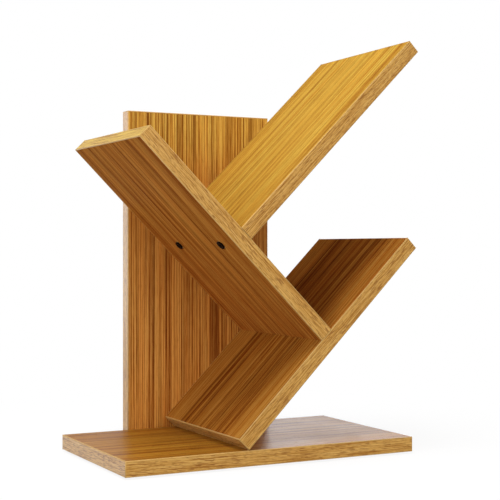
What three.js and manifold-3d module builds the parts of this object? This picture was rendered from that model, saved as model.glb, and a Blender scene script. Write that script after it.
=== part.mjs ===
// Tree shaped desktop bookshelf: five edge-banded boards held together by countersunk screws.
// Lengths are in millimetres and +Z is up. The origin lies on the surface that the shelf stands on,
// under the middle of its footprint. The open front faces -Y, and the back panel is at +Y.

import * as THREE from "three";
import { mergeVertices } from "three/addons/utils/BufferGeometryUtils.js";
import Module from "manifold-3d";

const wasm = await Module();
wasm.setup();

// Boards
const boardThickness = 15;
const shelfDepth = 176;
const baseWidth = 311;
const panelWidth = 167;
const panelHeight = 351;
const supportLength = 270;
const lowerShelfLength = 270;
const upperShelfLength = 270;
const shelfRise = THREE.MathUtils.degToRad(45);

// Where the boards meet
const footInset = 125; // from the base's left end to the edge that the lower shelf rests on
const footGap = 0.3;
const supportPlace = 135; // from the lower shelf's foot to the middle of the support board
const upperShelfPlace = 131.5; // from the support board's lower end to the middle of the upper shelf
const buttGap = 0.2;

// Edge bands
const bandThickness = 1;
const bandRoundShare = 0.8; // the rounded part of the band's thickness
const glueLine = 0.1;

// Screws
const screwLength = 50;
const headDiameter = 9.5;
const headLand = 0.6;
const headSink = 0.3;
const neckDiameter = 7;
const neckSetback = 3; // from the neck's end to the joint between the boards
const coreDiameter = 5;
const tipDiameter = 2;
const tipLength = 3;
const socketAcrossFlats = 4;
const socketDepth = 2.8;

// Bores
const seatClearance = 0.15;
const pilotClearance = 0.1;
const pilotSlack = 1.5;

// Where the screws go
const frontScrewInset = 33;
const rearScrewInset = 45;
const screwEdgeDistance = 20;
const leastScrewSpacing = 30;
const middleShares = [0.5];
const boardScrewShares = [0, 1];
const baseScrewShares = [0, 0.5, 1];

// Pads under the base
const padDiameter = 18;
const padThickness = 2;
const padChamfer = 0.4;
const padInset = 20;

// How far a cutting tool runs past the face that it starts from
const overrun = 1;

// Facets
const roundSides = 24;
const bandArcSteps = 2;

const panelLeft = (baseWidth - panelWidth) / 2;
const skin = bandThickness + glueLine;

const looks = {
  laminate: { color: 0xa9652b, roughness: 0.45, metalness: 0 },
  band: { color: 0xc4924f, roughness: 0.5, metalness: 0 },
  screw: { color: 0x17171a, roughness: 0.4, metalness: 0.7 },
  pad: { color: 0x2b2a29, roughness: 0.9, metalness: 0 },
};

const alongX = new THREE.Vector3(1, 0, 0);
const alongY = new THREE.Vector3(0, 1, 0);
const alongZ = new THREE.Vector3(0, 0, 1);

// Solids

function solidFrom(geometry) {
  const bare = geometry.clone();
  bare.deleteAttribute("normal");
  bare.deleteAttribute("uv");
  const merged = mergeVertices(bare);
  const vertProperties = merged.attributes.position.array;
  const triVerts = new Uint32Array(merged.index.array);
  return new wasm.Manifold(new wasm.Mesh({ numProp: 3, vertProperties, triVerts }));
}

function geometryFrom(solid) {
  const { vertProperties, triVerts } = solid.getMesh();
  const shared = new THREE.BufferGeometry();
  shared.setAttribute("position", new THREE.BufferAttribute(vertProperties, 3));
  shared.setIndex(new THREE.BufferAttribute(triVerts, 1));
  const geometry = shared.toNonIndexed();
  geometry.computeVertexNormals();
  return geometry;
}

function subtract(geometry, cutter) {
  return geometryFrom(solidFrom(geometry).subtract(solidFrom(cutter)));
}

function piece(name, geometry, look) {
  const mesh = new THREE.Mesh(geometry, new THREE.MeshStandardMaterial(looks[look]));
  mesh.name = name;
  return mesh;
}

// A round form about the Y axis. Each point of its profile is a radius and a place along the axis.
function turned(profile) {
  const points = profile.map(([radius, place]) => new THREE.Vector2(radius, place));
  return new THREE.LatheGeometry(points, roundSides);
}

// Boards

// A strip's outline, X through its thickness from the outer face and Y along its span. An outer
// corner is rounded where the strip ends in the open.
function stripOutline(span, roundLow, roundHigh) {
  const radius = bandThickness * bandRoundShare;
  const outline = new THREE.Shape();
  outline.moveTo(bandThickness, 0);
  outline.lineTo(bandThickness, span);
  if (roundHigh) outline.absarc(radius, span - radius, radius, Math.PI / 2, Math.PI);
  else outline.lineTo(0, span);
  if (roundLow) outline.absarc(radius, radius, radius, Math.PI, 1.5 * Math.PI);
  else outline.lineTo(0, 0);
  outline.closePath();
  return outline;
}

function extruded(outline, depth) {
  const options = { depth, bevelEnabled: false, curveSegments: bandArcSteps };
  return new THREE.ExtrudeGeometry(outline, options);
}

// A band for a short edge runs along X, with its outer face at Y = 0 and square ends.
function shortBandGeometry(length) {
  const geometry = extruded(stripOutline(boardThickness, true, true), length);
  return geometry.applyMatrix4(new THREE.Matrix4().makeBasis(alongY, alongZ, alongX));
}

// A band for a long edge is rounded over at its free ends too.
function longBandGeometry(length, freeStart, freeEnd) {
  const plan = extruded(stripOutline(length, freeStart, freeEnd), boardThickness);
  plan.applyMatrix4(new THREE.Matrix4().makeBasis(alongY, alongX, alongZ.clone().negate()));
  plan.translate(0, 0, boardThickness);
  return geometryFrom(solidFrom(shortBandGeometry(length)).intersect(solidFrom(plan)));
}

// A board lies along X from its start to its end, Y runs from its front edge to its back edge, and
// Z from its lower face to its upper face. Both long edges are banded, and each short one that has a
// band named for it. The long bands cover the ends of the short ones. An end with no band butts on
// another board.
function makeBoard({ name, length, width, bands }) {
  const group = new THREE.Group();
  const freeStart = Boolean(bands.start);
  const freeEnd = Boolean(bands.end);
  const startSkin = freeStart ? skin : 0;
  const endSkin = freeEnd ? skin : 0;
  const coreLength = length - startSkin - endSkin;
  const coreWidth = width - 2 * skin;

  const core = piece(name, new THREE.BoxGeometry(coreLength, coreWidth, boardThickness), "laminate");
  core.position.set(startSkin + coreLength / 2, width / 2, boardThickness / 2);
  const front = piece(bands.front, longBandGeometry(length, freeStart, freeEnd), "band");
  const back = piece(bands.back, longBandGeometry(length, freeEnd, freeStart), "band");
  back.position.set(length, width, 0);
  back.rotation.z = Math.PI;
  group.add(core, front, back);

  if (freeStart) {
    const start = piece(bands.start, shortBandGeometry(coreWidth), "band");
    start.position.set(0, width - skin, 0);
    start.rotation.z = -Math.PI / 2;
    group.add(start);
  }
  if (freeEnd) {
    const end = piece(bands.end, shortBandGeometry(coreWidth), "band");
    end.position.set(length, skin, 0);
    end.rotation.z = Math.PI / 2;
    group.add(end);
  }
  return { group, core, back };
}

// The place, in the shelf's frame, of a point given in a board's own frame.
function placeOn(board, along, across, up) {
  board.group.updateMatrix();
  return new THREE.Vector3(along, across, up).applyMatrix4(board.group.matrix);
}

// Moves a turned board so that a point of its front edge comes to a given place.
function seat(board, along, up, place) {
  board.group.position.set(0, 0, 0);
  board.group.position.subVectors(place, placeOn(board, along, 0, up));
}

function makeBase() {
  const base = makeBoard({
    name: "base_board",
    length: baseWidth,
    width: shelfDepth,
    bands: {
      front: "base_band_front",
      back: "base_band_back",
      start: "base_band_left",
      end: "base_band_right",
    },
  });
  base.group.position.z = padThickness;
  return base;
}

// The panel stands behind the base and the slanted boards, centred on the base.
function makePanel() {
  const panel = makeBoard({
    name: "back_panel",
    length: panelHeight,
    width: panelWidth,
    bands: {
      front: "panel_band_left",
      back: "panel_band_right",
      start: "panel_band_bottom",
      end: "panel_band_top",
    },
  });
  panel.group.setRotationFromMatrix(new THREE.Matrix4().makeBasis(alongZ, alongX, alongY));
  panel.group.position.set(panelLeft, shelfDepth, padThickness);
  return panel;
}

// The lower shelf stands with the lower edge of its foot on the base.
function makeLowerShelf() {
  const shelf = makeBoard({
    name: "lower_shelf",
    length: lowerShelfLength,
    width: shelfDepth,
    bands: {
      front: "lower_shelf_band_front",
      back: "lower_shelf_band_back",
      start: "lower_shelf_band_foot",
      end: "lower_shelf_band_end",
    },
  });
  shelf.group.rotation.y = -shelfRise;
  shelf.group.position.set(footInset, 0, padThickness + boardThickness + footGap);
  return shelf;
}

// The support board leans square to the shelves, and its plain lower end butts on the lower shelf.
function makeSupport(lowerShelf) {
  const support = makeBoard({
    name: "support_board",
    length: supportLength,
    width: shelfDepth,
    bands: {
      front: "support_band_front",
      back: "support_band_back",
      start: "support_band_end",
    },
  });
  support.group.rotation.y = Math.PI / 2 - shelfRise;
  const joint = placeOn(lowerShelf, supportPlace, 0, boardThickness + buttGap);
  seat(support, supportLength, boardThickness / 2, joint);
  return support;
}

// The upper shelf rises beside the lower one, and its plain lower end butts on the support board.
function makeUpperShelf(support) {
  const shelf = makeBoard({
    name: "upper_shelf",
    length: upperShelfLength,
    width: shelfDepth,
    bands: {
      front: "upper_shelf_band_front",
      back: "upper_shelf_band_back",
      end: "upper_shelf_band_end",
    },
  });
  shelf.group.rotation.y = -shelfRise;
  const along = supportLength - upperShelfPlace;
  const joint = placeOn(support, along, 0, boardThickness + buttGap);
  seat(shelf, 0, boardThickness / 2, joint);
  return shelf;
}

// Screws

// A countersunk one-piece connecting screw with a hexagon socket. It points along Y, and Y = 0 is
// the face that its head is sunk in.
function screwGeometry() {
  const headRadius = headDiameter / 2;
  const neckRadius = neckDiameter / 2;
  const coreRadius = coreDiameter / 2;
  const landEnd = headSink + headLand;
  const neckEnd = boardThickness - neckSetback;
  const body = turned([
    [0, headSink],
    [headRadius, headSink],
    [headRadius, landEnd],
    [neckRadius, landEnd + headRadius - neckRadius],
    [neckRadius, neckEnd],
    [coreRadius, neckEnd + neckRadius - coreRadius],
    [coreRadius, screwLength - tipLength],
    [tipDiameter / 2, screwLength],
    [0, screwLength],
  ]);
  const socketRadius = socketAcrossFlats / Math.sqrt(3);
  const toolLength = socketDepth + overrun;
  const socket = new THREE.CylinderGeometry(socketRadius, socketRadius, toolLength, 6);
  socket.translate(0, headSink + socketDepth - toolLength / 2, 0);
  return subtract(body, socket);
}

// The bore and countersink in the board that the screw passes through.
function seatBore() {
  const mouthRadius = headDiameter / 2 + seatClearance;
  const boreRadius = neckDiameter / 2 + seatClearance;
  const landEnd = headSink + headLand;
  return turned([
    [0, -overrun],
    [mouthRadius, -overrun],
    [mouthRadius, landEnd],
    [boreRadius, landEnd + mouthRadius - boreRadius],
    [boreRadius, boardThickness + overrun],
    [0, boardThickness + overrun],
  ]);
}

// The blind pilot bore in the board that the screw bites into, drilled through any band there.
function pilotBore() {
  const boreRadius = coreDiameter / 2 + pilotClearance;
  const boreEnd = screwLength + pilotSlack;
  return turned([
    [0, boardThickness - overrun],
    [boreRadius, boardThickness - overrun],
    [boreRadius, boreEnd],
    [0, boreEnd],
  ]);
}

function drill(mesh, bore, placing) {
  mesh.updateWorldMatrix(true, false);
  const toMesh = mesh.matrixWorld.clone().invert().multiply(placing);
  mesh.geometry = subtract(mesh.geometry, bore.applyMatrix4(toMesh));
}

// Puts in one screw, with its head at a place on the pierced piece and its point in the others.
function addScrew(shelf, name, head, direction, pierced, bitten) {
  const screw = piece(name, screwGeometry(), "screw");
  screw.position.copy(head);
  screw.quaternion.setFromUnitVectors(alongY, direction);
  screw.updateMatrix();
  drill(pierced, seatBore(), screw.matrix);
  bitten.forEach((mesh) => drill(mesh, pilotBore(), screw.matrix));
  shelf.add(screw);
}

// Screws through the thickness of one board into the plain end of another.
function addEndScrews(shelf, name, pierced, along, bitten) {
  const direction = alongZ.clone().applyQuaternion(pierced.group.quaternion);
  [frontScrewInset, shelfDepth - rearScrewInset].forEach((across, index) => {
    const head = placeOn(pierced, along, across, 0);
    addScrew(shelf, `${name}_${index + 1}`, head, direction, pierced.core, [bitten.core]);
  });
}

// Screws through the panel into a board's back edge, on the stretch from first to last along it.
// A stretch that is too short for two has one in its middle.
function addPanelScrews(shelf, name, panel, board, [first, last], shares) {
  const direction = alongY.clone().negate();
  const fitting = last - first < leastScrewSpacing ? middleShares : shares;
  fitting.forEach((share, index) => {
    const along = first + share * (last - first);
    const head = placeOn(board, along, shelfDepth + boardThickness, boardThickness / 2);
    const bitten = [board.core, board.back];
    addScrew(shelf, `${name}_${index + 1}`, head, direction, panel.core, bitten);
  });
}

// The stretch of a board's middle line, between two places along it, that the panel covers.
function stretchOnPanel(board, from, to) {
  const start = placeOn(board, 0, 0, boardThickness / 2);
  const run = alongX.clone().applyQuaternion(board.group.quaternion);
  const spans = { x: [panelLeft, panelWidth], z: [padThickness, panelHeight] };
  let first = from;
  let last = to;
  for (const [axis, [low, size]] of Object.entries(spans)) {
    const edges = [low + screwEdgeDistance, low + size - screwEdgeDistance];
    const places = edges.map((edge) => (edge - start[axis]) / run[axis]);
    first = Math.max(first, Math.min(...places));
    last = Math.min(last, Math.max(...places));
  }
  return [first, last];
}

function addAllScrews(shelf, { base, panel, lowerShelf, support, upperShelf }) {
  const upperPlace = supportLength - upperShelfPlace;
  addEndScrews(shelf, "support_to_upper_screw", support, upperPlace, upperShelf);
  addEndScrews(shelf, "lower_to_support_screw", lowerShelf, supportPlace, support);

  const bite = screwLength - boardThickness;
  const baseStretch = [
    panelLeft + screwEdgeDistance,
    panelLeft + panelWidth - screwEdgeDistance,
  ];
  const supportEnd = supportLength - bite - screwEdgeDistance;
  const lowerEnd = supportPlace - boardThickness / 2 - screwEdgeDistance;
  const runs = [
    ["base", base, baseStretch, baseScrewShares],
    ["support", support, stretchOnPanel(support, 0, supportEnd), boardScrewShares],
    ["lower", lowerShelf, stretchOnPanel(lowerShelf, screwEdgeDistance, lowerEnd), boardScrewShares],
    [
      "upper",
      upperShelf,
      stretchOnPanel(upperShelf, bite + screwEdgeDistance, upperShelfLength),
      boardScrewShares,
    ],
  ];
  for (const [name, board, stretch, shares] of runs) {
    addPanelScrews(shelf, `panel_to_${name}_screw`, panel, board, stretch, shares);
  }
}

// Pads

function padGeometry() {
  const radius = padDiameter / 2;
  const geometry = turned([
    [0, 0],
    [radius - padChamfer, 0],
    [radius, padChamfer],
    [radius, padThickness],
    [0, padThickness],
  ]);
  return geometry.rotateX(Math.PI / 2);
}

function addPads(shelf) {
  const columns = { left: padInset, right: baseWidth - padInset };
  const rows = { front: padInset, back: shelfDepth - padInset };
  for (const [row, y] of Object.entries(rows)) {
    for (const [column, x] of Object.entries(columns)) {
      const pad = piece(`pad_${row}_${column}`, padGeometry(), "pad");
      pad.position.set(x, y, 0);
      shelf.add(pad);
    }
  }
}

function makeBookshelf() {
  const shelf = new THREE.Group();
  const base = makeBase();
  const panel = makePanel();
  const lowerShelf = makeLowerShelf();
  const support = makeSupport(lowerShelf);
  const upperShelf = makeUpperShelf(support);
  const boards = { base, panel, lowerShelf, support, upperShelf };
  Object.values(boards).forEach((board) => shelf.add(board.group));
  addPads(shelf);
  addAllScrews(shelf, boards);

  // The footprint's middle comes to the origin.
  const middle = new THREE.Box3().setFromObject(shelf, true).getCenter(new THREE.Vector3());
  shelf.position.set(-middle.x, -middle.y, 0);
  return new THREE.Group().add(shelf);
}

export default makeBookshelf();
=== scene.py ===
import math
from collections import namedtuple

import bmesh
import bpy
from mathutils import Euler, Matrix, Vector


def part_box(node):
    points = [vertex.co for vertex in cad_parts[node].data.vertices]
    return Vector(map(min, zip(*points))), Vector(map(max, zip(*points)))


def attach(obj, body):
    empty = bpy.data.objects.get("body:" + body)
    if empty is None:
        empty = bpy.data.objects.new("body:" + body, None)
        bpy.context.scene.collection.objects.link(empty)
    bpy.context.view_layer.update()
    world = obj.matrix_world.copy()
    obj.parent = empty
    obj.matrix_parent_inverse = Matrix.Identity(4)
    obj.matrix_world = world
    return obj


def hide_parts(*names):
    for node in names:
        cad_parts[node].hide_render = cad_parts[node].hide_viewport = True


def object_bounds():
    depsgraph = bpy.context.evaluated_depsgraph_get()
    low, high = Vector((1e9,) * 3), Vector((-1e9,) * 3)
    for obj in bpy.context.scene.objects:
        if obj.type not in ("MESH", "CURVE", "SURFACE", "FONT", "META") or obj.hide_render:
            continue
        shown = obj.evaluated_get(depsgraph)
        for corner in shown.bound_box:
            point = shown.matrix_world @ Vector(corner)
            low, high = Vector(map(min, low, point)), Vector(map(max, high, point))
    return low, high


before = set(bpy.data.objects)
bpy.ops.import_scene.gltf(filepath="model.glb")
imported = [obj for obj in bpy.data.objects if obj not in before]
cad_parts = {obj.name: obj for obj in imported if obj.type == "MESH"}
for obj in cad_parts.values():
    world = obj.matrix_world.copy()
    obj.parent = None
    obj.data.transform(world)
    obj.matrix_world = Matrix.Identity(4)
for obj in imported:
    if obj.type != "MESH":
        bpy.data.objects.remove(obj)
cad_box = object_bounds()

# Lengths are in metres, in the bookshelf's own frame: +X runs along the base towards the raised ends
# of the shelves, +Y from the open front to the back panel, and +Z up from the surface it stands on.
MM = 0.001

# How the boards lie. Each has a frame of its own: X along the board's length and grain, Y across it
# from its front or left edge, and Z through its thickness. CROSSWAYS is for bands that run along +Y.
ALONG, ACROSS, THROUGH = range(3)
SHELF_RISE = math.radians(45)
LEVEL = Matrix.Identity(3)
RISING = Matrix.Rotation(-SHELF_RISE, 3, "Y")
LEANING = Matrix.Rotation(math.pi / 2 - SHELF_RISE, 3, "Y")
UPRIGHT = Matrix(((0, 1, 0), (0, 0, 1), (1, 0, 0)))
CROSSWAYS = Matrix(((0, -1, 0), (1, 0, 0), (0, 0, 1)))

# Where a board's own frame starts, how it is turned, and how large the board is in it.
Lie = namedtuple("Lie", "start turn size")


# Shader helpers

def put(tree, kind, sockets=None, **settings):
    """Adds a shader node. A value that is another node's output is linked, and any other is set."""
    made = tree.nodes.new("ShaderNode" + kind)
    for name, value in settings.items():
        setattr(made, name, value)
    for name, value in (sockets or {}).items():
        if isinstance(value, bpy.types.NodeSocket):
            tree.links.new(value, made.inputs[name])
        else:
            made.inputs[name].default_value = value
    return made


def math_of(tree, operation, *values):
    return put(tree, "Math", dict(enumerate(values)), operation=operation).outputs[0]


def ramp(tree, factor, stops, smooth="LINEAR"):
    """A colour ramp. Each stop is a share of its length, and a brightness or a colour."""
    made = put(tree, "ValToRGB", {"Fac": factor})
    made.color_ramp.interpolation = smooth
    elements = made.color_ramp.elements
    while len(elements) < len(stops):
        elements.new(1.0)
    for element, (share, value) in zip(elements, stops):
        colour = value if isinstance(value, tuple) else (value, value, value)
        element.position = share
        element.color = (*colour, 1.0)
    return made.outputs["Color"]


def mixed(tree, share, colour, other, how="MIX"):
    """A colour with a share of another mixed into it, or multiplied on to it. The node names its
    sockets alike for each kind of value, so those for colours go by their numbers."""
    sockets = {0: share, 6: colour, 7: (*other, 1)}
    return put(tree, "Mix", sockets, data_type="RGBA", blend_type=how).outputs[2]


def own_place(tree, lie, feature):
    """Places in a board's own frame, where one unit is as large as a feature of the pattern."""
    sockets = {
        "Vector": put(tree, "TexCoord").outputs["Object"],
        "Location": lie.start,
        "Rotation": lie.turn.to_euler(),
        "Scale": feature,
    }
    return put(tree, "Mapping", sockets, vector_type="TEXTURE").outputs["Vector"]


def in_metres(tree, lie):
    """A point's place in a board's own frame in metres, as outputs X, Y and Z."""
    place = own_place(tree, lie, (1, 1, 1))
    return put(tree, "SeparateXYZ", {"Vector": place}).outputs


def streaks(tree, lie, feature, seed, detail=2.0, span=(0.3, 0.7)):
    """Noise drawn out to features of a given size, spread over 0 to 1. The seed picks a stretch of it."""
    moved = lie._replace(start=lie.start + Vector((seed, 0, 0)))
    place = own_place(tree, moved, feature)
    sockets = {"Vector": place, "Scale": 1.0, "Detail": detail, "Roughness": 0.55}
    noise = put(tree, "TexNoise", sockets).outputs["Fac"]
    sockets = {"Value": noise, "From Min": span[0], "From Max": span[1]}
    return put(tree, "MapRange", sockets, clamp=True).outputs["Result"]


def grains(tree, number, detail):
    """Even noise, with a given number of grains to the metre."""
    place = put(tree, "TexCoord").outputs["Object"]
    return put(tree, "TexNoise", {"Vector": place, "Scale": number, "Detail": detail}).outputs["Fac"]


def bump(tree, height, relief):
    """A relief, given by its depth and by how strongly it shows."""
    sockets = {"Height": height, "Distance": relief[0], "Strength": relief[1]}
    return put(tree, "Bump", sockets).outputs["Normal"]


def new_material(name):
    material = bpy.data.materials.new(name)
    material.use_nodes = True
    material.node_tree.nodes.clear()
    return material, material.node_tree


def finish_surface(tree, sockets):
    shader = put(tree, "BsdfPrincipled", sockets)
    put(tree, "OutputMaterial", {"Surface": shader.outputs["BSDF"]})


# Laminate

# Features of the pattern, by their size along the grain, across it and through the board.
WANDER_SIZE = (160 * MM, 50 * MM, 50 * MM)
FIBRE_SIZE = (22 * MM, 0.8 * MM, 0.8 * MM)
PORE_SIZE = (8 * MM, 0.35 * MM, 0.35 * MM)
REDNESS_SIZE = (220 * MM, 7 * MM, 7 * MM)
SHEEN_SIZE = (50 * MM, 50 * MM, 50 * MM)

WANDER = 5 * MM
WANDER_SEED = 3.0
SEAM_SHARE = 0.489
REDNESS = 0.7
RED_TINT = (1.10, 0.88, 0.70)
PORE_SPAN = (0.60, 0.68)
PORE_DARKNESS = 0.6
PORE_TINT = (0.60, 0.52, 0.45)
# Where the painted light at a board's far end comes in, as shares of its length.
PAINTED_LIGHT_END_REACH = (0.72, 0.95)
LAMINATE_ROUGHNESS = 0.31
SHEEN_ROUGHNESS = 0.06
PORE_ROUGHNESS = 0.12
HAIR_HEIGHT = 0.4
LAMINATE_RELIEF = (0.03 * MM, 0.5)

# Colours of the grain from its darkest to its palest streak, as shares of the sheet's tone.
GRAIN_SHARES = (
    (0.00, (0.42, 0.29, 0.24)),
    (0.25, (0.72, 0.60, 0.54)),
    (0.50, (1.00, 1.00, 1.00)),
    (0.75, (1.22, 1.38, 1.55)),
    (1.00, (1.42, 1.75, 2.30)),
)

# Main stripes of a sheet: how far across it each lies, from 0 to 1, and its brightness. A book-matched
# sheet has them twice, from a seam near the middle of the board's depth out to both its long edges.
Stripes = namedtuple("Stripes", "book_matched rows")

SHELF_STRIPES = Stripes(True, (
    (0.00, 0.40),
    (0.08, 0.95),
    (0.165, 0.20),
    (0.25, 0.90),
    (0.36, 0.80),
    (0.425, 0.10),
    (0.48, 0.75),
    (0.58, 0.10),
    (0.66, 1.00),
    (0.84, 0.50),
    (0.90, 0.05),
    (0.96, 0.60),
))

# The lower shelf's stripes are print, with a pale strip along both its long edges, and their darker inner
# part is partly painted shade, under the support board.
LOWER_PRINT_AND_SHADE_STRIPES = Stripes(True, (
    (0.00, 0.45),
    (0.09, 0.70),
    (0.16, 0.25),
    (0.30, 0.50),
    (0.43, 0.10),
    (0.50, 0.35),
    (0.59, 0.20),
    (0.64, 0.80),
    (0.80, 0.80),
    (1.00, 0.80),
))

PANEL_STRIPES = Stripes(False, (
    (0.00, 0.65),
    (0.10, 0.80),
    (0.16, 0.05),
    (0.19, 0.90),
    (0.28, 0.15),
    (0.32, 0.80),
    (0.44, 0.40),
    (0.54, 0.75),
    (0.61, 0.00),
    (0.66, 0.70),
    (0.76, 0.35),
    (0.81, 0.80),
    (0.87, 0.25),
    (0.92, 0.70),
))

# tone is the sheet's middle colour. main, fine, hair and fibre say how strongly the main stripes, the
# streaks between them, the hairlines and the short fibres show. streak and line are the sizes of the
# streaks and the hairlines. The last is a tint of painted light, paler and yellower, that comes in
# towards the far end of the board, where it stands clear of the shade of the boards in front of it.
Sheet = namedtuple("Sheet", "tone main fine hair fibre streak line gloss far_end")

SHELF_SHEET = Sheet(
    tone=(0.387, 0.147, 0.024),
    main=0.42,
    fine=0.40,
    hair=0.82,
    fibre=0.30,
    streak=(400 * MM, 4.0 * MM, 4.0 * MM),
    line=(160 * MM, 1.1 * MM, 1.1 * MM),
    gloss=0.001,
    far_end=None,
)
# The lower shelf's upper face is a darker copy of the shelf laminate with stronger stripes: painted
# shade, from the support board above it.
PAINTED_SHADE_LOWER_SHEET = SHELF_SHEET._replace(tone=(0.310, 0.119, 0.017), main=0.66, hair=1.15)
# The upper shelf's top is a yellower, brighter copy of the shelf laminate with fainter hairlines: painted
# light, where the top lamp falls on it fully.
PAINTED_LIGHT_TOP_SHEET = SHELF_SHEET._replace(
    tone=(0.440, 0.250, 0.036),
    main=0.25,
    fine=0.42,
    hair=0.42,
    streak=(400 * MM, 3.6 * MM, 3.6 * MM),
    gloss=0.002,
)
BASE_SHEET = SHELF_SHEET._replace(tone=(0.356, 0.155, 0.016), hair=0.50, gloss=0.036)
PANEL_SHEET = Sheet(
    tone=(0.432, 0.174, 0.030),
    main=0.62,
    fine=0.46,
    hair=1.90,
    fibre=0.45,
    streak=(500 * MM, 1.9 * MM, 1.9 * MM),
    line=(240 * MM, 0.8 * MM, 0.8 * MM),
    gloss=0.03,
    far_end=None,
)
# The panel's front turns paler and yellower towards its top: painted light, where it is clear of the
# support board's shade.
PANEL_FRONT_SHEET = PANEL_SHEET._replace(far_end=(1.04, 1.36, 1.20))


def stripe_place(tree, lie, book_matched):
    """How far across the stripes a point lies, from 0 to 1, with a slow wander along the grain."""
    wander = streaks(tree, lie, WANDER_SIZE, WANDER_SEED, detail=1.0)
    shift = math_of(tree, "MULTIPLY", math_of(tree, "SUBTRACT", wander, 0.5), WANDER)
    across = math_of(tree, "ADD", in_metres(tree, lie)["Y"], shift)
    if not book_matched:
        return math_of(tree, "DIVIDE", across, lie.size.y)
    off_seam = math_of(tree, "ABSOLUTE", math_of(tree, "SUBTRACT", across, lie.size.y * SEAM_SHARE))
    return math_of(tree, "DIVIDE", off_seam, lie.size.y / 2)


def painted_light_end_share(tree, lie):
    """Where a sheet's painted light comes in: 0 over most of the board's length, then up to 1 near its
    far end.
    """
    along = math_of(tree, "DIVIDE", in_metres(tree, lie)["X"], lie.size.x)
    start, end = PAINTED_LIGHT_END_REACH
    return ramp(tree, along, ((start, 0.0), (end, 1.0)), "EASE")


def layered(tree, layers):
    """Patterns laid over each other. Each swings about the middle by as much as its share says."""
    depth = 0.5
    for pattern, share in layers:
        swing = math_of(tree, "SUBTRACT", pattern, 0.5)
        depth = math_of(tree, "MULTIPLY_ADD", swing, share, depth)
    return depth


def print_colour(tree, lie, sheet, stripes, hair, seed):
    """The sheet's printed grain, redder in some streaks, with a tint of painted light towards the far
    end.
    """
    place = stripe_place(tree, lie, stripes.book_matched)
    depth = layered(tree, (
        (ramp(tree, place, stripes.rows, "EASE"), sheet.main),
        (streaks(tree, lie, sheet.streak, seed), sheet.fine),
        (hair, sheet.hair),
        (streaks(tree, lie, FIBRE_SIZE, seed + 3, detail=1.0), sheet.fibre),
    ))
    stops = []
    for share, parts in GRAIN_SHARES:
        stops.append((share, tuple(tone * part for tone, part in zip(sheet.tone, parts))))
    redness = math_of(tree, "MULTIPLY", streaks(tree, lie, REDNESS_SIZE, seed + 4), REDNESS)
    colour = mixed(tree, redness, ramp(tree, depth, stops), RED_TINT, "MULTIPLY")
    # Painted light: a paler, yellower tint towards the far end, on the sheets that have one.
    if sheet.far_end:
        colour = mixed(tree, painted_light_end_share(tree, lie), colour, sheet.far_end, "MULTIPLY")
    return colour


def laminate(name, lie, sheet, stripes, seed):
    """A satin printed sheet with straight wood grain along the board, and fine pores in it."""
    material, tree = new_material(name)
    hair = streaks(tree, lie, sheet.line, seed + 1)
    pores = streaks(tree, lie, PORE_SIZE, seed + 2, detail=1.0, span=PORE_SPAN)
    sheen = streaks(tree, lie, SHEEN_SIZE, seed + 5)
    colour = print_colour(tree, lie, sheet, stripes, hair, seed)
    darkness = math_of(tree, "MULTIPLY", pores, PORE_DARKNESS)
    roughness = math_of(tree, "MULTIPLY_ADD", sheen, SHEEN_ROUGHNESS, LAMINATE_ROUGHNESS)
    height = math_of(tree, "SUBTRACT", math_of(tree, "MULTIPLY", hair, HAIR_HEIGHT), pores)
    finish_surface(tree, {
        "Base Color": mixed(tree, darkness, colour, PORE_TINT, "MULTIPLY"),
        "Roughness": math_of(tree, "MULTIPLY_ADD", pores, PORE_ROUGHNESS, roughness),
        "Specular IOR Level": sheet.gloss,
        "Normal": bump(tree, height, LAMINATE_RELIEF),
    })
    return material


# Edge bands

# Colours of the band's printed oak: its dark lines, its middle, its pale lines and its flecks.
BAND_COLOURS = (
    (0.400, 0.182, 0.030),
    (0.545, 0.282, 0.060),
    (0.630, 0.368, 0.100),
    (0.210, 0.066, 0.008),
)
BAND_STOPS = (0.05, 0.45, 0.95)
CLOUD_SIZE = (60 * MM, 4 * MM, 4 * MM)
CLOUD_SHARE = 0.12
LINE_SIZE = (45 * MM, 0.8 * MM, 0.8 * MM)
LINE_HEIGHT = 0.5
FLECK_SIZE = (13 * MM, 0.75 * MM, 0.75 * MM)
SMALL_FLECK_SIZE = (6 * MM, 0.55 * MM, 0.55 * MM)
SMALL_FLECK_SHARE = 0.7
FLECK_SPAN = (0.59, 0.65)
FLECK_SLANT = math.radians(3)
BAND_ROUGHNESS = 0.27
LINE_ROUGHNESS = 0.08
BAND_RELIEF = (0.04 * MM, 0.5)

# shares shifts all these colours for one look of band, depth spreads its lines about the middle, and
# marks says how strongly its flecks show. WARM is the band's plain look; PAINTED_LIGHT_PALE paints light
# on it, and
# COOL_PAINTED_SHEEN partly paints sheen.
Shade = namedtuple("Shade", "shares depth marks gloss")

WARM = Shade(shares=(1.04, 1.04, 1.05), depth=1.25, marks=0.66, gloss=0.18)
# PAINTED_LIGHT_PALE is paler and yellower: painted light, for the support board's end, which faces the
# top lamp.
PAINTED_LIGHT_PALE = Shade(shares=(1.11, 1.29, 0.86), depth=1.95, marks=0.42, gloss=0.30)
# COOL_PAINTED_SHEEN is bluer: partly a painted sheen of the pale room, on the side and end faces seen
# aslant.
COOL_PAINTED_SHEEN = Shade(shares=(1.00, 1.03, 1.30), depth=1.95, marks=0.80, gloss=0.60)

# The plain core of a band, in patches of two close colours, paler than its print: partly the core's own
# colour, partly a painted highlight along the rounded edges.
ARRIS_CORE_AND_HIGHLIGHT_COLOURS = ((0.0, (0.49, 0.287, 0.084)), (1.0, (0.55, 0.335, 0.115)))
ARRIS_PATCH = (9 * MM, 9 * MM, 9 * MM)
ARRIS_SEED = 1.0
ARRIS_ROUGHNESS = 0.36
PATCH_ROUGHNESS = 0.1
ARRIS_GLOSS = 0.10


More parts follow.
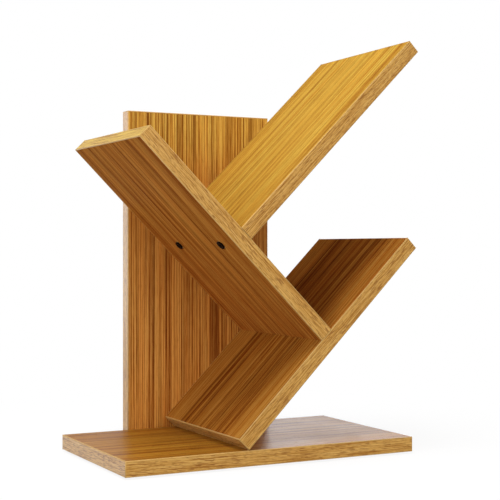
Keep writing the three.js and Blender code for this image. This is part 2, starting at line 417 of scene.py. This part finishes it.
def from_middle(turn):
    """A band's pattern is measured from the middle of the bookshelf's foot, and needs no size."""
    return Lie(Vector((0, 0, 0)), turn, None)


def fleck_marks(tree, turn, seed):
    """Long and short flecks, both a little aslant."""
    slant = Matrix.Rotation(FLECK_SLANT, 3, "Y") @ Matrix.Rotation(FLECK_SLANT, 3, "Z")
    lie = from_middle(turn @ slant)
    flecks = streaks(tree, lie, FLECK_SIZE, seed + 2, detail=0.5, span=FLECK_SPAN)
    small = streaks(tree, lie, SMALL_FLECK_SIZE, seed + 3, detail=0.5, span=FLECK_SPAN)
    return math_of(tree, "MAXIMUM", flecks, math_of(tree, "MULTIPLY", small, SMALL_FLECK_SHARE))


def edge_band(name, turn, seed, shade):
    """A satin oak-like band with short dark flecks that run along it."""
    material, tree = new_material(name)
    dark, middle, light, fleck = [Vector(colour) * Vector(shade.shares) for colour in BAND_COLOURS]
    dark = middle + (dark - middle) * shade.depth
    light = middle + (light - middle) * shade.depth
    clouds = streaks(tree, from_middle(turn), CLOUD_SIZE, seed)
    lines = streaks(tree, from_middle(turn), LINE_SIZE, seed + 1, detail=1.5)
    marks = math_of(tree, "MULTIPLY", fleck_marks(tree, turn, seed), shade.marks)
    tone = math_of(tree, "MULTIPLY", lines, 1 - CLOUD_SHARE)
    tone = math_of(tree, "MULTIPLY_ADD", clouds, CLOUD_SHARE, tone)
    colour = ramp(tree, tone, list(zip(BAND_STOPS, map(tuple, (dark, middle, light)))))
    height = math_of(tree, "SUBTRACT", math_of(tree, "MULTIPLY", lines, LINE_HEIGHT), marks)
    finish_surface(tree, {
        "Base Color": mixed(tree, marks, colour, fleck),
        "Roughness": math_of(tree, "MULTIPLY_ADD", lines, LINE_ROUGHNESS, BAND_ROUGHNESS),
        "Specular IOR Level": shade.gloss,
        "Normal": bump(tree, height, BAND_RELIEF),
    })
    return material


def arris_core_and_highlight():
    """The plain core of a band, laid bare where its corners are trimmed round, and paler as a painted
    highlight.
    """
    material, tree = new_material("arris_core_and_highlight")
    patches = streaks(tree, from_middle(LEVEL), ARRIS_PATCH, ARRIS_SEED)
    finish_surface(tree, {
        "Base Color": ramp(tree, patches, ARRIS_CORE_AND_HIGHLIGHT_COLOURS),
        "Roughness": math_of(tree, "MULTIPLY_ADD", patches, PATCH_ROUGHNESS, ARRIS_ROUGHNESS),
        "Specular IOR Level": ARRIS_GLOSS,
    })
    return material


# Chipboard, metal and rubber

# CHIPS and the GRAINS say how many there are to the metre.
CHIPS = 620.0
CHIP_COLOURS = (
    (0.0, (0.34, 0.22, 0.10)),
    (0.6, (0.55, 0.40, 0.21)),
    (1.0, (0.68, 0.53, 0.32)),
)
CHIP_ROUGHNESS = 0.85
CHIP_RELIEF = (0.2 * MM, 0.6)

STEEL_GRAINS = 900.0
STEEL_COLOURS = ((0.3, (0.006, 0.002, 0.001)), (0.7, (0.018, 0.009, 0.006)))
STEEL_ROUGHNESS = 0.25
STEEL_GRAIN_ROUGHNESS = 0.25
STEEL_GLOSS = 0.02
STEEL_RELIEF = (0.02 * MM, 0.4)

RUBBER_GRAINS = 1800.0
RUBBER_COLOURS = ((0.3, (0.016, 0.016, 0.016)), (0.7, (0.040, 0.039, 0.038)))
RUBBER_ROUGHNESS = 0.85
RUBBER_RELIEF = (0.08 * MM, 0.7)


def raw_chipboard():
    """Pressed wood chips, in the bores and at the plain ends that butt on another board."""
    material, tree = new_material("raw_chipboard")
    place = put(tree, "TexCoord").outputs["Object"]
    chips = put(tree, "TexVoronoi", {"Vector": place, "Scale": CHIPS}).outputs["Color"]
    shade = put(tree, "SeparateColor", {"Color": chips}).outputs["Red"]
    finish_surface(tree, {
        "Base Color": ramp(tree, shade, CHIP_COLOURS),
        "Roughness": CHIP_ROUGHNESS,
        "Normal": bump(tree, shade, CHIP_RELIEF),
    })
    return material


def black_steel():
    """Blackened steel, almost without gloss, with faint wear."""
    material, tree = new_material("black_steel")
    grain = grains(tree, STEEL_GRAINS, detail=4.0)
    finish_surface(tree, {
        "Base Color": ramp(tree, grain, STEEL_COLOURS),
        "Roughness": math_of(tree, "MULTIPLY_ADD", grain, STEEL_GRAIN_ROUGHNESS, STEEL_ROUGHNESS),
        "Specular IOR Level": STEEL_GLOSS,
        "Normal": bump(tree, grain, STEEL_RELIEF),
    })
    return material


def dark_rubber():
    """Matt dark rubber with a fine grain."""
    material, tree = new_material("dark_rubber")
    grain = grains(tree, RUBBER_GRAINS, detail=3.0)
    finish_surface(tree, {
        "Base Color": ramp(tree, grain, RUBBER_COLOURS),
        "Roughness": RUBBER_ROUGHNESS,
        "Normal": bump(tree, grain, RUBBER_RELIEF),
    })
    return material


# Boards and bands, made from the model's own

WELD = 0.005 * MM
ONE_PLANE = math.radians(1)
FLAT_COSINE = 0.999
BORE_BREAK = 0.35 * MM
BORE_BREAK_STEPS = 2
BORE_INSET = 1 * MM


def lie_of(node, turn):
    """How a node lies, from its lowest corner in its board's own frame."""
    points = [turn.transposed() @ vertex.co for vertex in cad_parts[node].data.vertices]
    low = Vector([min(point[axis] for point in points) for axis in range(3)])
    high = Vector([max(point[axis] for point in points) for axis in range(3)])
    return Lie(turn @ low, turn, high - low)


def welded(node):
    """A bmesh of a node with its loose triangles joined into whole faces."""
    shape = bmesh.new()
    shape.from_mesh(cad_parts[node].data)
    bmesh.ops.remove_doubles(shape, verts=shape.verts, dist=WELD)
    bmesh.ops.dissolve_limit(shape, angle_limit=ONE_PLANE, verts=shape.verts, edges=shape.edges)
    bmesh.ops.recalc_face_normals(shape, faces=shape.faces)
    return shape


def finished_piece(name, shape, materials, node):
    """Puts a shape into the scene in place of a node."""
    mesh = bpy.data.meshes.new(name)
    shape.to_mesh(mesh)
    shape.free()
    for material in materials:
        mesh.materials.append(material)
    piece = bpy.data.objects.new(name, mesh)
    bpy.context.scene.collection.objects.link(piece)
    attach(piece, "root")
    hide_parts(node)


def square_axis(face, turn):
    """The axis of its board's own frame that a face is square to. A rounded or slanted face has none."""
    for axis in (ALONG, ACROSS, THROUGH):
        if abs(face.normal.dot(turn.col[axis])) > FLAT_COSINE:
            return axis
    return None


def is_inside(lie, point):
    """Whether a point lies inside the outline of a board's face, clear of its edges."""
    own = lie.turn.transposed() @ (point - lie.start)
    return all(BORE_INSET < own[axis] < lie.size[axis] - BORE_INSET for axis in (ALONG, ACROSS))


def break_bore_edges(shape, lie):
    """Breaks the sharp edge where each bore comes out of a laminated face."""
    rims = []
    for edge in shape.edges:
        laminated = [square_axis(face, lie.turn) == THROUGH for face in edge.link_faces]
        middle = (edge.verts[0].co + edge.verts[1].co) / 2
        if sum(laminated) == 1 and is_inside(lie, middle):
            rims.append(edge)
    if not rims:
        return set()
    made = bmesh.ops.bevel(
        shape,
        geom=rims,
        offset=BORE_BREAK,
        offset_type="OFFSET",
        affect="EDGES",
        segments=BORE_BREAK_STEPS,
        profile=0.5,
        material=-1,
        clamp_overlap=True,
    )
    return set(made["faces"])


def make_board(node, turn, sheets, stripes, seed, raw):
    """A laminated board: printed sheets on its upper and under face, and raw chipboard elsewhere."""
    lie = lie_of(node, turn)
    shape = welded(node)
    broken = break_bore_edges(shape, lie)
    upper, under, elsewhere = range(3)
    for face in shape.faces:
        axis = square_axis(face, turn)
        face.smooth = axis is None
        face.material_index = elsewhere
        if axis == THROUGH and face not in broken:
            face.material_index = upper if face.normal.dot(turn.col[THROUGH]) > 0 else under
    looks = []
    for side, sheet in zip(("upper", "under"), sheets):
        looks.append(laminate(f"{side}_{node}", lie, sheet, stripes, seed))
    finished_piece(f"{node}_faced", shape, (*looks, raw), node)


def make_band(node, turn, look, arris):
    """An edge band. Its trimmed corners show its plain core, which also paints a highlight along them."""
    shape = welded(node)
    printed, trimmed = range(2)
    for face in shape.faces:
        face.smooth = square_axis(face, turn) is None
        face.material_index = trimmed if face.smooth else printed
    finished_piece(f"{node}_trimmed", shape, (look, arris), node)


# Round shapes

def ring_of(shape, sides, radius, up):
    made = bmesh.ops.create_circle(shape, segments=sides, radius=radius)
    bmesh.ops.translate(shape, verts=made["verts"], vec=(0, 0, up))
    return made["verts"]


def edges_among(shape, verts):
    chosen = set(verts)
    return [edge for edge in shape.edges if edge.verts[0] in chosen and edge.verts[1] in chosen]


def next_ring(shape, verts, scale, up):
    """Draws a ring on to a new ring, scaled about the axis and moved to a given height."""
    made = bmesh.ops.extrude_edge_only(shape, edges=edges_among(shape, verts))
    new = [item for item in made["geom"] if isinstance(item, bmesh.types.BMVert)]
    for vert in new:
        vert.co.x *= scale
        vert.co.y *= scale
        vert.co.z = up
    return new


def turned_from(shape, ring, outline):
    """Draws a ring on along an outline of radii and heights, which starts at the ring, and closes it."""
    radius = outline[0][0]
    for next_radius, up in outline[1:]:
        ring = next_ring(shape, ring, next_radius / radius, up)
        radius = next_radius
    bmesh.ops.contextual_create(shape, geom=ring)


def smooth_sides(shape):
    """Shades the four-sided faces smooth, which leaves the flat ends sharp."""
    for face in shape.faces:
        face.smooth = len(face.verts) == 4


# Screws

SCREW_SIDES = 48
HEAD_RADIUS = 4.75 * MM
HEAD_CHAMFER = 0.25 * MM
HEAD_LAND = 0.6 * MM
SOCKET_ACROSS_FLATS = 4 * MM
SOCKET_DEPTH = 2.8 * MM
SOCKET_LEAD = 0.3 * MM
NECK_RADIUS = 3.5 * MM
NECK_LENGTH = 11.7 * MM
CORE_RADIUS = 2.5 * MM
CORE_TOP = CORE_RADIUS - NECK_RADIUS - NECK_LENGTH
TIP_RADIUS = 1.0 * MM
TIP_LENGTH = 3.0 * MM
THREAD_RADIUS = 3.4 * MM
THREAD_PITCH = 3.0 * MM
THREAD_FOOT = 1.1 * MM
THREAD_SINK = 0.1 * MM
THREAD_STEPS = 20
TURNS_LEFT_OUT = 0.5
SHARP_ANGLE = math.radians(30)


def hexagon_of(shape, sides, across_flats, up):
    """A ring with many corners, drawn in to the outline of a hexagon."""
    verts = ring_of(shape, sides, 1.0, up)
    for vert in verts:
        angle = math.atan2(vert.co.y, vert.co.x) % (math.pi / 3)
        radius = across_flats / 2 / math.cos(angle - math.pi / 6)
        vert.co.x *= radius
        vert.co.y *= radius
    return verts


def screw_head_and_shank(shape, length):
    """The screw stands on +Z with the face of its head at Z = 0 and its point below."""
    lead_scale = 1 + SOCKET_LEAD / SOCKET_ACROSS_FLATS * 2
    floor = hexagon_of(shape, SCREW_SIDES, SOCKET_ACROSS_FLATS, -SOCKET_DEPTH)
    bmesh.ops.contextual_create(shape, geom=floor)
    wall = next_ring(shape, floor, 1.0, -SOCKET_LEAD)
    mouth = next_ring(shape, wall, lead_scale, 0.0)
    outline = (
        (HEAD_RADIUS - HEAD_CHAMFER, 0.0),
        (HEAD_RADIUS, -HEAD_CHAMFER),
        (HEAD_RADIUS, -HEAD_LAND),
        (NECK_RADIUS, -HEAD_LAND - HEAD_RADIUS + NECK_RADIUS),
        (NECK_RADIUS, -NECK_LENGTH),
        (CORE_RADIUS, CORE_TOP),
        (CORE_RADIUS, TIP_LENGTH - length),
        (TIP_RADIUS, -length),
    )
    ring = ring_of(shape, SCREW_SIDES, *outline[0])
    bmesh.ops.bridge_loops(shape, edges=edges_among(shape, mouth) + edges_among(shape, ring))
    turned_from(shape, ring, outline)


def screw_thread(shape, length):
    """A helical ridge round the core, from under the neck down to the point."""
    turns = (CORE_TOP - TIP_LENGTH + length) / THREAD_PITCH - TURNS_LEFT_OUT
    inner = CORE_RADIUS - THREAD_SINK
    start = CORE_TOP - THREAD_FOOT
    profile = [
        shape.verts.new((inner, 0, start - THREAD_FOOT / 2)),
        shape.verts.new((THREAD_RADIUS, 0, start)),
        shape.verts.new((inner, 0, start + THREAD_FOOT / 2)),
    ]
    bmesh.ops.spin(
        shape,
        geom=[shape.faces.new(profile)],
        cent=(0, 0, 0),
        axis=(0, 0, -1),
        dvec=(0, 0, -THREAD_PITCH / THREAD_STEPS),
        angle=turns * math.tau,
        steps=round(turns * THREAD_STEPS),
    )


def screw_frame(node, direction):
    """The middle of a screw's head face, and its length along the way it points."""
    low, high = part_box(node)
    along = [direction.dot(vertex.co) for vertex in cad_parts[node].data.vertices]
    length = max(along) - min(along)
    return (low + high) / 2 - direction * length / 2, length


def make_screw(node, direction, steel):
    head, length = screw_frame(node, direction)
    shape = bmesh.new()
    screw_head_and_shank(shape, length)
    screw_thread(shape, length)
    bmesh.ops.recalc_face_normals(shape, faces=shape.faces)
    turn = Vector((0, 0, -1)).rotation_difference(direction).to_matrix().to_4x4()
    bmesh.ops.transform(shape, matrix=Matrix.Translation(head) @ turn, verts=shape.verts)
    smooth_sides(shape)
    for edge in shape.edges:
        edge.smooth = edge.calc_face_angle(math.pi) < SHARP_ANGLE
    finished_piece(f"{node}_black", shape, (steel,), node)


# Pads

PAD_SIDES = 72
PAD_ROUND = 0.5 * MM
PAD_ROUND_STEPS = 4


def make_pad(node, rubber):
    """A round self-adhesive pad with a soft lower rim."""
    low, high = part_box(node)
    radius = (high.x - low.x) / 2
    outline = [(radius, high.z)]
    for step in range(PAD_ROUND_STEPS + 1):
        angle = math.pi / 2 * step / PAD_ROUND_STEPS
        drawn_in = PAD_ROUND - PAD_ROUND * math.cos(angle)
        outline.append((radius - drawn_in, low.z + PAD_ROUND - PAD_ROUND * math.sin(angle)))
    shape = bmesh.new()
    ring = ring_of(shape, PAD_SIDES, *outline[0])
    bmesh.ops.contextual_create(shape, geom=ring)
    turned_from(shape, ring, outline)
    middle = (low + high) / 2
    bmesh.ops.translate(shape, verts=shape.verts, vec=(middle.x, middle.y, 0))
    bmesh.ops.recalc_face_normals(shape, faces=shape.faces)
    smooth_sides(shape)
    finished_piece(f"{node}_rubber", shape, (rubber,), node)


# The bookshelf

def make_boards():
    # Each board's node, how it lies, the sheets on its upper and its under face, its stripes and its
    # seed. The back panel's upper face, in its own frame, is its back.
    raw = raw_chipboard()
    boards = (
        ("base_board", LEVEL, (BASE_SHEET, SHELF_SHEET), SHELF_STRIPES, 11.0),
        ("support_board", LEANING, (SHELF_SHEET, SHELF_SHEET), SHELF_STRIPES, 23.0),
        ("lower_shelf", RISING, (PAINTED_SHADE_LOWER_SHEET, SHELF_SHEET), LOWER_PRINT_AND_SHADE_STRIPES, 23.0),
        ("upper_shelf", RISING, (PAINTED_LIGHT_TOP_SHEET, SHELF_SHEET), SHELF_STRIPES, 37.0),
        ("back_panel", UPRIGHT, (PANEL_SHEET, PANEL_FRONT_SHEET), PANEL_STRIPES, 41.0),
    )
    for node, turn, sheets, stripes, seed in boards:
        make_board(node, turn, sheets, stripes, seed, raw)


def make_bands():
    # For each board: its bands' name and how the board lies, the shade, the seed and the sides of its
    # long bands, and the look and the sides of its short ones.
    arris = arris_core_and_highlight()
    across = edge_band("band_across", CROSSWAYS, 5.0, COOL_PAINTED_SHEEN)
    pale = edge_band("band_across_painted_light", CROSSWAYS, 5.0, PAINTED_LIGHT_PALE)
    panel_ends = edge_band("panel_band_ends", LEVEL, 31.0, WARM)
    bands = (
        ("base_band", LEVEL, WARM, 7.0, ("front", "back"), across, ("left", "right")),
        ("support_band", LEANING, WARM, 13.0, ("front", "back"), pale, ("end",)),
        ("lower_shelf_band", RISING, WARM, 17.0, ("front", "back"), across, ("foot", "end")),
        ("upper_shelf_band", RISING, WARM, 19.0, ("front", "back"), across, ("end",)),
        ("panel_band", UPRIGHT, COOL_PAINTED_SHEEN, 29.0, ("left", "right"), panel_ends, ("top", "bottom")),
    )
    for name, turn, shade, seed, long_sides, short_look, short_sides in bands:
        long_look = edge_band(name, turn, seed, shade)
        for side in long_sides:
            make_band(f"{name}_{side}", turn, long_look, arris)
        for side in short_sides:
            make_band(f"{name}_{side}", turn, short_look, arris)


def make_screws():
    # The screws' nodes are named after the board that their heads sit in, and they go through it.
    steel = black_steel()
    ways = {
        "panel_to": -UPRIGHT.col[THROUGH],
        "support_to": LEANING.col[THROUGH],
        "lower_to": RISING.col[THROUGH],
    }
    for node in sorted(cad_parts):
        for start, way in ways.items():
            if node.startswith(start):
                make_screw(node, way, steel)


def make_pads():
    rubber = dark_rubber()
    for node in sorted(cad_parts):
        if node.startswith("pad_"):
            make_pad(node, rubber)


# The studio

# The camera looks level, and is turned to the right.
CAMERA_PLACE = Vector((-0.5543, -1.1017, 0.2070))
CAMERA_TURN = math.radians(27.36)
CAMERA_LENS = 86.52
CAMERA_SHIFT = -0.0017
CLIP_START = 50 * MM

# Light of the room, where 1 is plain white, and the ceiling as it shows in gloss. Heights run from 0
# straight down to 1 straight up, and each pair says where one light goes over into the next.
FLOOR_LIGHT = 0.36
WALL_LIGHT = 0.60
CEILING_LIGHT = 0.22
MIRRORED_CEILING = 0.18
HORIZON = (0.49, 0.50)
WALL_TOP = (0.60, 0.70)
MIRRORED_WALL_TOP = (0.61, 0.71)

# The shadow on the floor fades out between two distances from the middle.
FLOOR_TONE = (1.0, 1.0, 1.0, 1.0)
FLOOR_SHADOW_SHARE = 0.12
FLOOR_SHADOW_REACH = (0.18, 0.50)
FLOOR_SIZE = 40.0
FLOOR_GAP = 0.1 * MM

# way and distance are from the middle of the bookshelf, and size is the lamp's width and height. A
# level of 1 lights a white surface that faces the lamp up to plain white.
Lamp = namedtuple("Lamp", "name way distance size level")

LAMPS = (
    Lamp("top_lamp", (-0.25, -0.15, 0.95), 1.6, (0.9, 0.9), 0.95),
    Lamp("front_lamp", (-0.15, -0.97, 0.20), 2.2, (2.2, 1.6), 0.43),
    Lamp("left_lamp", (-0.90, -0.40, 0.10), 3.0, (1.6, 1.4), 0.36),
    Lamp("rim_lamp", (-0.335, 0.94, 0.05), 1.8, (0.35, 1.2), 0.10),
    Lamp("back_lamp", (0.576, 0.793, 0.16), 1.8, (0.9, 0.6), 0.15),
    Lamp("right_lamp", (0.97, 0.25, 0.02), 1.8, (1.0, 0.8), 0.42),
)


def make_camera():
    camera = bpy.data.cameras.new("camera")
    camera.lens = CAMERA_LENS
    camera.shift_y = CAMERA_SHIFT
    camera.clip_start = CLIP_START
    camera.clip_end = 2 * FLOOR_SIZE
    holder = bpy.data.objects.new("camera", camera)
    holder.location = CAMERA_PLACE
    holder.rotation_euler = Euler((math.pi / 2, 0, -CAMERA_TURN))
    bpy.context.scene.collection.objects.link(holder)
    bpy.context.scene.camera = holder


def make_softbox(lamp):
    """A rectangular soft lamp that points at the middle of the bookshelf."""
    light = bpy.data.lights.new(lamp.name, "AREA")
    light.shape = "RECTANGLE"
    light.size, light.size_y = lamp.size
    light.energy = lamp.level * (math.pi * lamp.distance) ** 2
    holder = bpy.data.objects.new(lamp.name, light)
    middle = (cad_box[0] + cad_box[1]) / 2
    holder.location = middle + Vector(lamp.way).normalized() * lamp.distance
    holder.rotation_euler = (middle - holder.location).to_track_quat("-Z", "Y").to_euler()
    bpy.context.scene.collection.objects.link(holder)


def is_seen(tree):
    """1 for rays from the camera and for mirrored and refracted ones, otherwise 0."""
    rays = put(tree, "LightPath").outputs
    seen = math_of(tree, "MAXIMUM", rays["Is Camera Ray"], rays["Is Glossy Ray"])
    return math_of(tree, "MAXIMUM", seen, rays["Is Transmission Ray"])


def room_height(tree):
    """How high in the room a ray goes out, from 0 straight down to 1 straight up."""
    way = put(tree, "TexCoord").outputs["Generated"]
    up = put(tree, "SeparateXYZ", {"Vector": way}).outputs["Z"]
    return math_of(tree, "MULTIPLY_ADD", up, 0.5, 0.5)


def make_room():
    """White walls under a darker ceiling, which light the bookshelf less than they show. The light
    from below the horizon stands for what the floor throws back."""
    world = bpy.data.worlds.new("studio")
    bpy.context.scene.world = world
    world.use_nodes = True
    tree = world.node_tree
    tree.nodes.clear()
    height = room_height(tree)
    mirrored = ramp(tree, height, tuple(zip(MIRRORED_WALL_TOP, (1.0, MIRRORED_CEILING))))
    walls = math_of(tree, "MAXIMUM", mirrored, put(tree, "LightPath").outputs["Is Camera Ray"])
    levels = (FLOOR_LIGHT, WALL_LIGHT, WALL_LIGHT, CEILING_LIGHT)
    light = ramp(tree, height, tuple(zip(HORIZON + WALL_TOP, levels)))
    shown = put(tree, "Background", {"Color": walls}).outputs[0]
    lit = put(tree, "Background", {"Color": light}).outputs[0]
    mix = put(tree, "MixShader", {0: is_seen(tree), 1: lit, 2: shown})
    put(tree, "OutputWorld", {"Surface": mix.outputs[0]})


def white_floor():
    """White that shows as white and keeps a soft share of the bookshelf's shadow. It is clear to the
    room's light, and from below, so that the underside of the base can be seen."""
    material, tree = new_material("floor")
    plain = put(tree, "BsdfDiffuse", {"Color": FLOOR_TONE}).outputs[0]
    glow = put(tree, "Emission", {"Color": FLOOR_TONE}).outputs[0]
    place = put(tree, "TexCoord").outputs["Object"]
    away = put(tree, "VectorMath", {0: place}, operation="LENGTH").outputs["Value"]
    near, far = FLOOR_SHADOW_REACH
    sockets = {
        "Value": away,
        "From Min": near,
        "From Max": far,
        "To Min": FLOOR_SHADOW_SHARE,
        "To Max": 0.0,
    }
    share = put(tree, "MapRange", sockets, clamp=True).outputs["Result"]
    shown = put(tree, "MixShader", {0: share, 1: glow, 2: plain}).outputs[0]
    clear = put(tree, "BsdfTransparent").outputs[0]
    above = math_of(tree, "SUBTRACT", 1.0, put(tree, "NewGeometry").outputs["Backfacing"])
    seen = math_of(tree, "MULTIPLY", is_seen(tree), above)
    mix = put(tree, "MixShader", {0: seen, 1: clear, 2: shown}).outputs[0]
    put(tree, "OutputMaterial", {"Surface": mix})
    return material


def make_floor():
    shape = bmesh.new()
    bmesh.ops.create_grid(shape, x_segments=1, y_segments=1, size=FLOOR_SIZE / 2)
    mesh = bpy.data.meshes.new("floor")
    shape.to_mesh(mesh)
    shape.free()
    mesh.materials.append(white_floor())
    floor = bpy.data.objects.new("floor", mesh)
    floor.location.z = -FLOOR_GAP
    bpy.context.scene.collection.objects.link(floor)


def make_studio():
    make_room()
    make_floor()
    for lamp in LAMPS:
        make_softbox(lamp)
    bpy.context.scene.view_settings.view_transform = "Standard"


make_camera()
make_studio()
make_boards()
make_bands()
make_screws()
make_pads()
